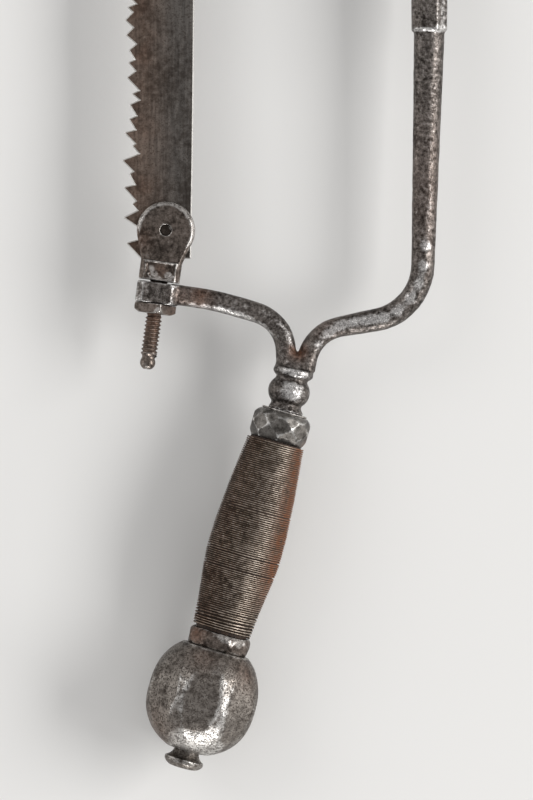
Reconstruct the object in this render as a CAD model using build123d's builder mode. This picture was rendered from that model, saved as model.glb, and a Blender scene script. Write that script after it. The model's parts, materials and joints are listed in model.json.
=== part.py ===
from build123d import *
import os
from math import cos, pi, radians, sin, sqrt

# An old bow-framed amputation saw, lying on its side.
# X runs from the teeth towards the back bar, Y runs along the blade away from the handle, and Z is up.
# The origin is the middle of the pommel's lowest facet, so the flat of the saw is parallel to the table.

os.makedirs("parts", exist_ok=True)

# Allowances shared by the whole saw
overrun = 2.0  # how far a cutting tool passes beyond the metal that it cuts
slide_fit = 0.1  # gap on each side of a bar that is driven or slides through a hole
turn_fit = 0.05  # gap on the radius of a pin or a screw that turns in its hole
seat_gap = 0.1  # gap between flat faces that turn or slide against each other
facet_count = 8  # flats filed round the ferrule, the collar, the bead and the pommel

# Blade, measured from the line between its two pins
blade_span = 260.0  # from pin to pin
blade_thickness = 1.3
blade_back = 10.5  # to the ends of the smooth back edge
back_crown = 1.4  # how far the back edge stands out in the middle
blade_front = 11.2  # to the deepest gullet
blade_heel = 11.8  # beyond each pin
heel_trim = 0.6  # taken off the toothed corner at each end
tooth_depth = 7.4  # from the deepest gullet to the longest tip
tooth_pitch = 5.8
first_tooth = 3.2  # from the blade's end to the first pitch
# Hand-filed teeth, from the handle end on. Each row gives a gullet's place along its own pitch and how
# far it is filled, then the tip's place along the pitch and its reach.
tooth_shares = (
    (-0.10, 0.20, 0.60, 0.76), (-0.17, 0.08, 0.45, 0.12), (-0.34, 0.02, 0.43, 0.93),
    (-0.03, 0.09, 0.43, 0.41), (-0.38, 0.21, 0.63, 0.92), (-0.19, 0.26, 0.60, 0.59),
    (-0.24, 0.36, 0.57, 1.00), (0.05, 0.03, 0.61, 0.42), (-0.24, 0.25, 0.59, 0.88),
    (-0.22, 0.23, 0.56, 0.61), (-0.21, 0.17, 0.60, 0.57), (-0.07, 0.01, 0.39, 0.46),
    (-0.38, 0.03, 0.56, 0.73), (0.03, 0.23, 0.65, 0.66), (-0.14, 0.27, 0.55, 0.61),
    (-0.02, 0.19, 0.63, 0.78), (0.17, 0.36, 0.70, 0.82), (0.28, 0.39, 0.65, 0.70),
)
hook_slack = 0.3  # spare room in the far hook when the screw is slack

# Forked ends that grip the blade, measured from their pins
pin_radius = 2.35
pin_recess = 0.9  # from the cheek's face down to the pin's end
pin_dish = 0.5  # depth of the hollow in the pin's end
pin_rim = 0.5  # width of the rim round that hollow
cheek_radius = 12.2
cheek_thickness = 3.4
cheek_bevel = 1.2
slot_play = 0.2  # beside the blade, on each side
crotch = 17.3  # to the bottom of the fork's slot
waist = 8.2  # half the width where the cheeks meet the block
block_start = 13.2
block_length = 8.2
block_width = 17.2
block_depth = 11.0
block_bevel = 2.0
panel_sink = 0.7  # depth of the sunk panels on the block's faces
panel_width = 12.0
panel_foot = 9.2  # width of its narrow foot
panel_margin = 0.9  # from the panel to the ends of the block
scallop_radius = 1.9
shank_side = 7.0  # the square part that can't turn in the boss
screw_radius = 3.5
screw_length = 17.0  # past the nut, up to the neck of its end ball
thread_middle_radius = 3.2  # half-way up the thread, where the screw and the nut meet
screw_neck_radius = 2.7
screw_neck_length = 1.9
screw_ball_radius = 3.2
screw_ball_length = 4.6
rivet_radius = 5.6  # the hammered-over end of the far shank
rivet_height = 2.2
rivet_crown_share = 0.76  # of its radius and height, where its crown turns over

# Screw and nut that stretch the blade
screw_tilt = 7.9  # degrees between the screw and the blade
screw_pitch = 1.65
nut_turns = 1.0  # from tight to slack
block_gap = 0.8  # between the near block and its boss
nut_side = 12.9
nut_height = 4.2
nut_bevel = 1.2
nut_turned = 30.0  # degrees that the nut stands turned on the screw

# Bosses at the two ends of the bow
boss_width = 17.6
boss_depth = 13.0
boss_height = 8.8
boss_bevel = 2.6

# Bow, with places in the flat of the saw measured from the near pin
arm_radius = 4.3
bar_end_radius = 6.5  # where the round bar meets the collar
bend_radius = 4.9  # of the bar's round section in its bends
collar_width = 14.9  # across the flats of the eight-sided middle
collar_length = 93.2
collar_bevel = 0.7
collar_x = 110.6
heel_corner = (107.4, -34.0)
throat_corner = (61.6, -42.6)
neck_entry = (58.3, -58.6)
arm_start = (2.0, -26.7)
arm_sway = (19.7, -29.1)
arm_corner = (50.2, -37.9)
arm_entry = (50.5, -58.4)
toe_corner = (107.4, 41.0)  # this one and the next from the far pin
toe_entry = (2.0, 25.8)
heel_bend = 24.0
throat_bend = 17.0
sway_bend = 120.0
arm_bend = 17.5

# Handle, with heights measured down its axis from the foot of the ferrule
handle_foot = (46.2, -88.6)  # from the near pin
handle_tilt = 16.1  # degrees between the handle and the blade
ferrule_length = 12.4
ferrule_width = 24.4  # across its eight lozenges
ferrule_waist = 6.4  # from the foot up to the middle of the lozenges
lozenge_top = 4.9  # above their middle
lozenge_foot = 4.0  # below their middle
ferrule_rim_radius = 9.9
socket_depth = 5.0  # of the ferrule and of the bead, where the wooden core plugs in
plate_radius = 9.7
plate_thickness = 0.9
neck_length = 18.2
neck_tilt = 12.4  # degrees between the neck and the blade
neck_radius = 8.8
neck_height_shares = (0, 0.12, 0.21, 0.24, 0.27, 0.59, 0.83, 0.91, 1.0)
neck_width_shares = (0.90, 0.96, 0.76, 0.74, 0.76, 1.0, 0.71, 0.76, 0.91)
tang_side = 7.6  # under the neck
tang_end_side = 5.6  # at the foot of the pommel
tang_end_radius = 2.5  # of its riveted tip
grip_length = 83.4
grip_end_radius = 12.1  # outside the winding
grip_belly = 3.9  # how much the middle stands out from the ends
tenon_radius = 8.6
bead_length = 7.4
bead_radius = 13.6
bead_edge_share = 0.90  # of its radius, at its two edges
bead_flats = 26.6  # across the flats hammered into the bead
bead_taper_share = 0.93  # of those flats, at the bead's foot
pommel_rise = 21.2  # from its top to its widest place
pommel_fall = 22.8  # and on to its foot
pommel_width = 45.8  # across two opposite facets
pommel_flat = 4.0  # level part in the middle of each facet
pommel_body_radius = 24.3
pommel_top_radius = 14.0
pommel_foot_radius = 8.6
pommel_facet_top = 14.6  # reach of a facet at the top of the pommel
pommel_facet_foot = 9.6  # and at its foot
button_length = 7.6
button_neck_radius = 5.3
button_radius = 8.3
button_rim_share = 0.52  # of its length, where the saucer's rim starts
button_round_share = 0.3  # of its length, rounded at the end
button_dip = 0.9  # how hollow the saucer is, and how round its end

# Winding on the grip
ribbon_turns = 24
lay_turns = 3  # turns laid at one go
ribbon_width = 2.85
ribbon_thickness = 0.9
ribbon_seat = 0.35  # from the band to the wooden core
ribbon_margin = 0.4  # from the band to the ferrule and to the bead

# Sizes that follow from those above
handle_down = Vector(-sin(radians(handle_tilt)), -cos(radians(handle_tilt)))
neck_down = Vector(-sin(radians(neck_tilt)), -cos(radians(neck_tilt)))
screw_out = Vector(-sin(radians(screw_tilt)), -cos(radians(screw_tilt)))
pommel_start = grip_length + bead_length
pommel_middle = pommel_start + pommel_rise
middle_from_pin = Vector(*handle_foot) + handle_down * pommel_middle
near_pin_place = Vector(-middle_from_pin.X, -middle_from_pin.Y, pommel_width / 2)
far_pin_place = near_pin_place + Vector(0, blade_span)
flat = Plane(near_pin_place)
half_facet = pi / facet_count
turn_facet = 180 / facet_count
slot_width = blade_thickness + 2 * slot_play
cheek_depth = slot_width / 2 + cheek_thickness
eye_radius = pin_radius + turn_fit
slide_travel = screw_pitch * nut_turns
boss_start = block_start + block_length + block_gap
boss_end = boss_start + boss_height
nut_start = boss_end + seat_gap
nut_end = nut_start + nut_height
nut_run_end = nut_end + slide_travel + turn_fit
screw_end = nut_end + screw_length


def side_plane(place, heading):
    """Plane in the flat of the saw: its Y axis follows the heading, and its X axis lies across it."""
    across = Vector(abs(heading.Y), -heading.X if heading.Y > 0 else heading.X)
    return Plane(origin=place, x_dir=across, z_dir=across.cross(heading))


def station(side, distance):
    """Plane square to a side plane's Y axis, a distance along it."""
    return Plane(side.origin + side.y_dir * distance, x_dir=side.x_dir, z_dir=side.y_dir)


near_side = side_plane(near_pin_place, screw_out)
far_side = side_plane(far_pin_place, Vector(0, 1))
handle_side = side_plane(near_pin_place + Vector(*handle_foot), handle_down)
handle_axis = Axis(handle_side.origin, handle_down)


def finish(piece, name):
    """Label a finished piece, write it to its file and say how large it is."""
    piece.label = name
    export_step(piece, f"parts/{name}.step")
    print(name, len(piece.solids()), "solid", round(piece.volume), "mm3")


# Blade: one strip of steel with coarse hand-filed teeth on one edge, an eye at the near end and,
# at the far end, a hook that slips sideways over the far pin
def tooth_outline():
    """Gullets and tips along the blade's cutting edge, from the handle end on."""
    points = []
    pitch_start = first_tooth - blade_heel
    row = 0
    while pitch_start + tooth_pitch < blade_span + blade_heel:
        gullet_place, gullet_fill, tip_place, tip_reach = tooth_shares[row % len(tooth_shares)]
        gullet = (-blade_front - tooth_depth * gullet_fill, pitch_start + tooth_pitch * gullet_place)
        tip = (-blade_front - tooth_depth * tip_reach, pitch_start + tooth_pitch * tip_place)
        points += [gullet, tip] if row else [tip]
        pitch_start += tooth_pitch
        row += 1
    return points


heel = (heel_trim - blade_front, -blade_heel)
toe = (heel_trim - blade_front, blade_span + blade_heel)
hook_depth = slide_travel + hook_slack
hook_drift = slide_travel * sin(radians(screw_tilt)) + hook_slack
with BuildPart() as blade:
    with BuildSketch(flat):
        with BuildLine():
            back_edge = [(blade_back, -blade_heel), (blade_back + back_crown, blade_span / 2),
                         (blade_back, blade_span + blade_heel)]
            Polyline(back_edge[0], heel, *tooth_outline(), toe, back_edge[-1])
            ThreePointArc(*back_edge)
        make_face()
        Circle(eye_radius, mode=Mode.SUBTRACT)
    extrude(amount=blade_thickness / 2, both=True)
    with BuildSketch(Plane(far_pin_place)):
        with Locations((0, 0), (-hook_drift, 0), (-hook_drift, -hook_depth)):
            Circle(eye_radius)
        with Locations((blade_back + overrun, -hook_depth / 2)):
            Rectangle(overrun, 2 * eye_radius + hook_depth)
        make_hull()
    extrude(amount=blade_thickness, both=True, mode=Mode.SUBTRACT)
finish(blade.part, "blade")


# Forks: two round cheeks with a slot between them for the blade, a stout block with a sunk and
# scalloped panel on both faces, and a square shank that passes through the bow's boss
def build_fork(side, shank_end):
    with BuildPart() as fork:
        with BuildSketch(side):
            Circle(cheek_radius)
            with Locations((0, block_start)):
                Rectangle(2 * waist, 2 * cheek_bevel)
            make_hull()
        extrude(amount=cheek_depth, both=True)
        # Every rim of the two cheeks is bevelled, but not the last two, which the block covers
        rims = fork.faces().filter_by(Axis.Z).edges().sort_by(Axis(side.origin, side.y_dir))
        chamfer(rims[:-2], cheek_bevel)
        with BuildSketch(station(side, block_start)):
            Rectangle(block_width, block_depth)
            chamfer(vertices(), block_bevel)
        extrude(amount=block_length)
        panel_top = block_start + panel_margin
        panel_end = block_start + block_length - panel_margin
        with BuildSketch(side.offset(block_depth / 2), side.offset(-block_depth / 2)):
            with Locations((0, (panel_top + panel_end - scallop_radius) / 2)):
                Rectangle(panel_width, panel_end - panel_top - scallop_radius)
            with Locations((0, panel_end - scallop_radius)):
                Rectangle(panel_foot, 2 * panel_margin)
            with Locations((-panel_foot / 4, panel_end - scallop_radius),
                           (panel_foot / 4, panel_end - scallop_radius)):
                Circle(scallop_radius)
        extrude(amount=panel_sink, both=True, mode=Mode.SUBTRACT)
        with BuildSketch(station(side, block_start + block_length)):
            Rectangle(shank_side, shank_side)
        extrude(amount=shank_end - block_start - block_length)
        with BuildSketch(side):
            with Locations((0, (crotch - cheek_radius - overrun) / 2)):
                Rectangle(2 * (cheek_radius + overrun), crotch + cheek_radius + overrun)
        extrude(amount=slot_width / 2, both=True, mode=Mode.SUBTRACT)
        with BuildSketch(side):
            Circle(eye_radius)
        extrude(amount=block_depth, both=True, mode=Mode.SUBTRACT)
    return fork


# The near fork runs on into the screw, which ends in a turned neck and a ball. It is as thick as the
# crests of its thread, and half-way up them where the nut runs
near_fork = build_fork(near_side, boss_end)
with BuildPart() as screw_fork:
    add(near_fork.part)
    with BuildSketch(near_side):
        with BuildLine():
            neck_end = screw_end + screw_neck_length
            ball_end = neck_end + screw_ball_length
            crest_start = nut_run_end + screw_radius - thread_middle_radius
            Polyline((0, boss_end), (thread_middle_radius, boss_end), (thread_middle_radius, nut_run_end),
                     (screw_radius, crest_start), (screw_radius, screw_end),
                     (screw_neck_radius, screw_end + screw_neck_length / 2), (screw_neck_radius, neck_end))
            ThreePointArc((screw_neck_radius, neck_end),
                          (screw_ball_radius, (neck_end + ball_end) / 2),
                          (screw_neck_radius / 2, ball_end))
            Polyline((screw_neck_radius / 2, ball_end), (0, ball_end), (0, boss_end))
        make_face()
    revolve(axis=Axis(near_side.origin, near_side.y_dir))
finish(screw_fork.part, "screw_fork")

# The far fork's shank is hammered over like a rivet on the outside of its boss
plain_fork = build_fork(far_side, boss_end)
with BuildPart() as far_fork:
    add(plain_fork.part)
    with BuildSketch(far_side):
        with BuildLine():
            rivet_shoulder = (rivet_radius * rivet_crown_share, boss_end + rivet_height * rivet_crown_share)
            rivet_top = (rivet_radius * (1 - rivet_crown_share), boss_end + rivet_height)
            ThreePointArc((rivet_radius, boss_end), rivet_shoulder, rivet_top)
            Polyline(rivet_top, (0, boss_end + rivet_height), (0, boss_end), (rivet_radius, boss_end))
        make_face()
    revolve(axis=Axis(far_side.origin, far_side.y_dir))
finish(far_fork.part, "far_fork")

# Pins: short dished rivets through the cheeks and the blade, sunk a little below the cheeks' faces
pin_half = cheek_depth - pin_recess
for name, place in (("near_pin", near_pin_place), ("far_pin", far_pin_place)):
    with BuildPart() as pin:
        with BuildSketch(Plane(place, x_dir=(1, 0, 0), z_dir=(0, -1, 0))):
            with BuildLine():
                Polyline((0, pin_half - pin_dish), (pin_radius - pin_rim, pin_half), (pin_radius, pin_half),
                         (pin_radius, -pin_half), (pin_radius - pin_rim, -pin_half),
                         (0, pin_dish - pin_half), close=True)
            make_face()
        revolve(axis=Axis(place, (0, 0, 1)))
    finish(pin.part, name)

# Square nut that draws the screw through the boss and so stretches the blade
with BuildPart() as tension_nut:
    with BuildSketch(station(near_side, nut_start)):
        Rectangle(nut_side, nut_side, rotation=nut_turned)
        Circle(thread_middle_radius + turn_fit, mode=Mode.SUBTRACT)
    extrude(amount=nut_height)
    nut_corner = nut_side / sqrt(2)
    with BuildSketch(near_side):
        with BuildLine():
            Polyline((0, nut_start), (nut_corner, nut_start), (nut_corner, nut_end - nut_bevel),
                     (nut_corner - 2 * nut_bevel, nut_end), (0, nut_end),
                     close=True)
        make_face()
    revolve(axis=Axis(near_side.origin, near_side.y_dir), mode=Mode.INTERSECT)
finish(tension_nut.part, "tension_nut")

# Heights down the handle, from the foot of the ferrule
plate_top = -ferrule_length - plate_thickness
neck_side = side_plane(station(handle_side, plate_top).origin, neck_down)
pommel_end = pommel_start + pommel_rise + pommel_fall
button_end = pommel_end + button_length


def tang_bar(room):
    """Tapered square tang with its round tip, made larger by some room on every side."""
    with BuildPart() as bar:
        for height, side in ((plate_top - room, tang_side), (pommel_end, tang_end_side)):
            with BuildSketch(station(handle_side, height)):
                Rectangle(side + 2 * room, side + 2 * room)
        loft()
        with BuildSketch(station(handle_side, pommel_end)):
            Circle(tang_end_radius + room)
        extrude(amount=button_length + room)
    return bar.part


tang = tang_bar(0)
tang_hole = tang_bar(slide_fit)

# Bow: one forging with the back bar and its eight-sided middle, the two arms with their bosses, the
# turned neck between them and the handle, and the tang that runs through the whole handle
collar_start = (blade_span - collar_length) / 2
collar_end = collar_start + collar_length
bar_near = (collar_x, collar_start)
bar_far = (collar_x, collar_end)
toe_places = [(across, blade_span + along) for across, along in (toe_corner, toe_entry)]
routes = (
    ((bar_near, heel_corner, throat_corner, neck_entry), (heel_bend, throat_bend),
     (bar_end_radius, bend_radius, bend_radius, arm_radius, arm_radius, arm_radius)),
    ((bar_far, *toe_places), (heel_bend,), (bar_end_radius, bend_radius, bend_radius, arm_radius)),
    ((arm_start, arm_sway, arm_corner, arm_entry), (sway_bend, arm_bend),
     (arm_radius, arm_radius, arm_radius, arm_radius, arm_radius, arm_radius)),
)
with BuildPart() as bow_frame:
    with BuildSketch(Plane(near_pin_place + Vector(*bar_near), x_dir=(1, 0, 0), z_dir=(0, 1, 0))):
        RegularPolygon(collar_width / 2, facet_count, major_radius=False, rotation=turn_facet)
    extrude(amount=collar_length)
    chamfer(faces().filter_by(Axis.Y).edges(), collar_bevel)
    for corners, bends, radii in routes:
        with BuildLine(flat) as route:
            FilletPolyline(*corners, radius=bends)
        spans = route.edges().sort_by(route.wires()[0])
        for span, start_radius, end_radius in zip(spans, radii, radii[1:]):
            with BuildSketch(Plane(span @ 0, z_dir=span % 0)):
                Circle(start_radius)
            if span.geom_type == GeomType.LINE:
                with BuildSketch(Plane(span @ 1, z_dir=span % 1)):
                    Circle(end_radius)
                loft()
            else:
                sweep(path=span)
    for side in (near_side, far_side):
        with BuildSketch(station(side, boss_start)):
            Rectangle(boss_width, boss_depth)
            chamfer(vertices(), boss_bevel)
        extrude(amount=boss_height)
    with BuildSketch(neck_side):
        with BuildLine():
            heights = [neck_length * (share - 1) for share in neck_height_shares]
            widths = [neck_radius * share for share in neck_width_shares]
            Line((0, heights[0]), (widths[0], heights[0]))
            for low in range(0, len(heights) - 2, 2):
                ThreePointArc(*((widths[low + step], heights[low + step]) for step in range(3)))
            Polyline((widths[-1], heights[-1]), (widths[-1], overrun), (0, overrun), (0, heights[0]))
        make_face()
    revolve(axis=Axis(neck_side.origin, neck_down))
    with BuildSketch(station(handle_side, plate_top)):
        Circle(plate_radius)
    extrude(amount=2 * overrun, mode=Mode.SUBTRACT)
    add(tang)
    for side in (near_side, far_side):
        with BuildSketch(station(side, boss_start - overrun)):
            Rectangle(shank_side + 2 * slide_fit, shank_side + 2 * slide_fit)
        extrude(amount=boss_height + 2 * overrun, mode=Mode.SUBTRACT)
finish(bow_frame.part, "bow_frame")

# Thin washer plate between the neck and the ferrule
with BuildPart() as ferrule_plate:
    with BuildSketch(station(handle_side, plate_top)):
        Circle(plate_radius)
    extrude(amount=plate_thickness)
    chamfer(edges(), plate_thickness / 4)
    add(tang_hole, mode=Mode.SUBTRACT)
finish(ferrule_plate.part, "ferrule_plate")

# Ferrule: a cap with eight lozenges round its middle and eight triangles above and below them, where
# a straight eight-sided prism is cut by two eight-sided pyramids turned half a facet
with BuildPart() as ferrule:
    with BuildSketch(station(handle_side, -ferrule_length)):
        RegularPolygon(ferrule_width / 2, facet_count, major_radius=False, rotation=turn_facet)
    extrude(amount=ferrule_length)
    ridge = ferrule_width / 2 / cos(half_facet)
    ridge_drop = ridge - ferrule_width / 2 * cos(half_facet)
    rise = ferrule_length - ferrule_waist
    for height, reach in ((-ferrule_length, ridge - ridge_drop * rise / lozenge_top), (-ferrule_waist, ridge),
                          (0, ridge - ridge_drop * ferrule_waist / lozenge_foot)):
        with BuildSketch(station(handle_side, height)):
            RegularPolygon(reach, facet_count, major_radius=False)
    loft(ruled=True, mode=Mode.INTERSECT)
    with BuildSketch(handle_side):
        with BuildLine():
            Polyline((ferrule_rim_radius, -ferrule_length), (0, -ferrule_length), (0, 0), (ridge, 0),
                     (ridge, -ferrule_waist))
            TangentArc((ridge, -ferrule_waist), (ferrule_rim_radius, -ferrule_length), tangent=(0, -1))
        make_face()
    revolve(axis=handle_axis, mode=Mode.INTERSECT)
    with BuildSketch(station(handle_side, -socket_depth)):
        Circle(tenon_radius + slide_fit)
    extrude(amount=socket_depth, mode=Mode.SUBTRACT)
    add(tang_hole, mode=Mode.SUBTRACT)
finish(ferrule.part, "ferrule")


def grip_radius(height):
    """Radius of the wound grip at a height: a long arc that bellies out in the middle."""
    half = grip_length / 2
    arc = (half**2 + grip_belly**2) / (2 * grip_belly)
    return grip_end_radius + grip_belly - arc + sqrt(arc**2 - (height - half) ** 2)


# Core of the grip: a turned wooden barrel whose end tenons plug into the ferrule and the bead
with BuildPart() as grip_core:
    core_inset = ribbon_thickness + ribbon_seat
    with BuildSketch(handle_side):
        with BuildLine():
            core_radii = [grip_radius(height) - core_inset for height in (0, grip_length / 2, grip_length)]
            ThreePointArc((core_radii[0], 0), (core_radii[1], grip_length / 2), (core_radii[2], grip_length))
            tenon_length = socket_depth - seat_gap
            Polyline((core_radii[2], grip_length), (tenon_radius, grip_length),
                     (tenon_radius, grip_length + tenon_length), (0, grip_length + tenon_length),
                     (0, -tenon_length), (tenon_radius, -tenon_length), (tenon_radius, 0), (core_radii[0], 0))
        make_face()
    revolve(axis=handle_axis)
    add(tang_hole, mode=Mode.SUBTRACT)
finish(grip_core.part, "grip_core")

# Winding: one unbroken band laid round the core from the ferrule to the bead, each of its turns
# standing for four turns of the fine wire
ribbon_start = ribbon_margin + ribbon_width / 2
ribbon_pitch = (grip_length - 2 * ribbon_start) / ribbon_turns


def ribbon_spot(turn):
    """Middle of the band after a number of turns."""
    height = ribbon_start + ribbon_pitch * turn
    reach = grip_radius(height) - ribbon_thickness / 2
    angle = 2 * pi * turn
    return (handle_side.origin + handle_side.y_dir * height + handle_side.x_dir * (reach * cos(angle))
            + handle_side.z_dir * (reach * sin(angle)))


def ribbon_heading(turn):
    """Direction in which the band runs there."""
    step = 1 / 1000
    return (ribbon_spot(turn + step) - ribbon_spot(turn - step)).normalized()


def biarc_joint(start, start_heading, end, end_heading):
    """Point where two tangent arcs meet that join two points and keep both headings."""
    chord = end - start
    both = start_heading + end_heading
    square = both.dot(both) - 4
    reach = (chord.dot(both) - sqrt(chord.dot(both) ** 2 - square * chord.dot(chord))) / square
    return (start + end + (start_heading - end_heading) * reach) * 0.5


with BuildPart() as grip_winding:
    for first_turn in range(0, ribbon_turns, lay_turns):
        last_turn = min(first_turn + lay_turns, ribbon_turns)
        with BuildLine() as lay:
            if first_turn == 0:
                Line(ribbon_spot(0) - ribbon_heading(0) * ribbon_thickness, ribbon_spot(0))
            for half_turn in range(2 * first_turn, 2 * last_turn):
                start, end = ribbon_spot(half_turn / 2), ribbon_spot((half_turn + 1) / 2)
                heading = ribbon_heading(half_turn / 2)
                joint = biarc_joint(start, heading, end, ribbon_heading((half_turn + 1) / 2))
                quarter = TangentArc(start, joint, tangent=heading)
                TangentArc(joint, end, tangent=quarter % 1)
            if last_turn == ribbon_turns:
                Line(end, end + ribbon_heading(ribbon_turns) * ribbon_thickness)
        with BuildSketch(Plane(lay.line @ 0, x_dir=handle_side.x_dir, z_dir=ribbon_heading(first_turn))):
            Rectangle(ribbon_thickness, ribbon_width)
        guide = [station(handle_side, ribbon_start + ribbon_pitch * turn).origin
                 for turn in (first_turn, last_turn)]
        sweep(path=lay.wires()[0], binormal=Edge.make_line(*guide))
finish(grip_winding.part, "grip_winding")
gaps = [(ribbon_spot(turn + 1) - ribbon_spot(turn)).length - ribbon_width for turn in range(ribbon_turns)]
print("least gap between turns of the winding", round(min(gaps), 3), "mm")

# Bead: a hammered ring that closes the foot of the grip, with eight soft flats round its lower half
with BuildPart() as grip_bead:
    bead_end = grip_length + bead_length
    with BuildSketch(handle_side):
        with BuildLine():
            bead_middle = grip_length + bead_length / 2
            ThreePointArc((bead_radius * bead_edge_share, grip_length), (bead_radius, bead_middle),
                          (bead_radius * bead_edge_share, bead_end))
            Polyline((bead_radius * bead_edge_share, bead_end), (0, bead_end), (0, grip_length),
                     (bead_radius * bead_edge_share, grip_length))
        make_face()
    revolve(axis=handle_axis)
    for height, share in ((grip_length, 1), (bead_end, bead_taper_share)):
        with BuildSketch(station(handle_side, height)):
            RegularPolygon(bead_flats / 2 * share, facet_count, major_radius=False, rotation=turn_facet)
    loft(mode=Mode.INTERSECT)
    with BuildSketch(station(handle_side, grip_length)):
        Circle(tenon_radius + slide_fit)
    extrude(amount=socket_depth, mode=Mode.SUBTRACT)
    add(tang_hole, mode=Mode.SUBTRACT)
finish(grip_bead.part, "grip_bead")

# Pommel: a forged ball with eight long oval facets. A round body is cut by four barrel-shaped
# profiles that cross it, so that a narrow rounded ridge is left between each two facets
facet_reach = pommel_width / 2
with BuildPart() as pommel:
    with BuildSketch(handle_side):
        with BuildLine():
            waist_point = (pommel_body_radius, pommel_middle)
            TangentArc(waist_point, (pommel_top_radius, pommel_start), tangent=(0, -1))
            TangentArc(waist_point, (pommel_foot_radius, pommel_end), tangent=(0, 1))
            Polyline((pommel_top_radius, pommel_start), (0, pommel_start), (0, pommel_end),
                     (pommel_foot_radius, pommel_end))
        make_face()
    revolve(axis=handle_axis)
    for turn in range(facet_count // 2):
        across = handle_side.x_dir.rotate(handle_axis, 2 * turn_facet * turn)
        profile_plane = Plane(handle_side.origin, x_dir=across, z_dir=across.cross(handle_down))
        with BuildSketch(profile_plane.offset(-pommel_width)):
            with BuildLine():
                for hand in (1, -1):
                    flat_top = (hand * facet_reach, pommel_middle - pommel_flat / 2)
                    flat_foot = (hand * facet_reach, pommel_middle + pommel_flat / 2)
                    Line(flat_top, flat_foot)
                    TangentArc(flat_top, (hand * pommel_facet_top, pommel_start), tangent=(0, -1))
                    TangentArc(flat_foot, (hand * pommel_facet_foot, pommel_end), tangent=(0, 1))
                Line((pommel_facet_top, pommel_start), (-pommel_facet_top, pommel_start))
                Line((pommel_facet_foot, pommel_end), (-pommel_facet_foot, pommel_end))
            make_face()
        extrude(amount=2 * pommel_width, mode=Mode.INTERSECT)
    add(tang_hole, mode=Mode.SUBTRACT)
finish(pommel.part, "pommel")

# Button: the saucer-shaped nut at the end of the tang, whose tip is riveted over it
with BuildPart() as tang_button:
    with BuildSketch(handle_side):
        with BuildLine():
            rim_start = pommel_end + button_length * button_rim_share
            rim_end = pommel_end + button_length * (1 - button_round_share)
            hollow_radius = (button_neck_radius + button_radius) / 2 - button_dip
            ThreePointArc((button_neck_radius, pommel_end), (hollow_radius, (pommel_end + rim_start) / 2),
                          (button_radius, rim_start))
            Line((button_radius, rim_start), (button_radius, rim_end))
            ThreePointArc((button_radius, rim_end), (button_radius - button_dip, (rim_end + button_end) / 2),
                          (button_neck_radius, button_end))
            Polyline((button_neck_radius, button_end), (0, button_end), (0, pommel_end),
                     (button_neck_radius, pommel_end))
        make_face()
    revolve(axis=handle_axis)
    add(tang_hole, mode=Mode.SUBTRACT)
finish(tang_button.part, "tang_button")
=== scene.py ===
# %% [markdown]
# # An old bow-framed amputation saw
#
# This lesson dresses a finished CAD model of a hand-forged saw. The solids are right in size and
# place, but they are as clean as a drawing. The real saw has been filed, hammered, wound with wire,
# carried about and left to rust. Each step takes one piece, says what it is on the real saw, and
# gives it that life. Lengths are in metres, as Blender counts them, and most sizes are written in
# thousandths.

import json
import random

import bpy
import numpy as np
from mathutils import Matrix, Vector


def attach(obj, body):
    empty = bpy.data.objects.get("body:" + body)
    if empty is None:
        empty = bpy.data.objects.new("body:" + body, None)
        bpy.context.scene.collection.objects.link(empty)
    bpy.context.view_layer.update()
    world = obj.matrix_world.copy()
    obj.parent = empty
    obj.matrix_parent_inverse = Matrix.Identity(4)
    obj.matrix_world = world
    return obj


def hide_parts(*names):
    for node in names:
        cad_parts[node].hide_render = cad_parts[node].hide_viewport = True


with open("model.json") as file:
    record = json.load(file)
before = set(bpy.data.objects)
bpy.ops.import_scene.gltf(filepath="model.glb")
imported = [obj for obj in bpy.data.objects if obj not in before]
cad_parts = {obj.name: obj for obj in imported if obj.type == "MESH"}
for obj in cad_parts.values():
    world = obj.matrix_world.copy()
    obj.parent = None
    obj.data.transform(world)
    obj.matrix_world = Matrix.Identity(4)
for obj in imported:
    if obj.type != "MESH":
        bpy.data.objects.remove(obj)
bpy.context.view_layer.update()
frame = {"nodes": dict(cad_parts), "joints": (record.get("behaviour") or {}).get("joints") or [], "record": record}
MM = 0.001
print("solids:", ", ".join(sorted(frame["nodes"])))

# %% [markdown]
# The record that comes with the solids knows where the handle and the screw lie. Taking both axes
# from it means that nothing below has to be measured twice. Places on the handle are counted down
# its axis from the foot of the ferrule, places on the screw from the pin through the blade, and all
# others across the flat of the saw from that same pin. Three helpers turn such counts into points.

# %% Axes of the handle and the screw
mounts = {mount["name"]: mount for mount in frame["record"]["mounts"]}
joints = {joint["name"]: joint for joint in frame["joints"]}
down = Vector(mounts["hand_grip"]["axis"]).normalized()
screw_out = Vector(mounts["tension_screw_end"]["axis"]).normalized()
near_pin = Vector(joints["blade_swing"]["pos_m"])
grip_length = 83.4 * MM
handle_foot = Vector(mounts["hand_grip"]["pos_m"]) - down * grip_length / 2
across = Vector((-down.y, down.x, 0))
upward = Vector((0, 0, 1))


def from_pin(x, y, up=0.0):
    """A place in mm from the near pin, in the flat of the saw and above it."""
    return near_pin + Vector((x, y, up)) * MM


def on_handle(along, aside=0.0, up=0.0):
    """A place in mm from the ferrule's foot, down the handle, beside its axis and above it."""
    return handle_foot + (down * along + across * aside + upward * up) * MM


def on_screw(along, aside=0.0, up=0.0):
    """A place in mm from the near pin, down the screw, beside its axis and above it."""
    return near_pin + (screw_out * along + across * aside + upward * up) * MM


print("handle runs along", [round(c, 3) for c in down], "from", [round(c, 4) for c in handle_foot])

# %% [markdown]
# Three small helpers do what a hand does with the mouse: pick one object and nothing else, step
# into edit mode for one tool, and apply the modifiers. Operators act on all that is selected, so
# picking first matters.


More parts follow.
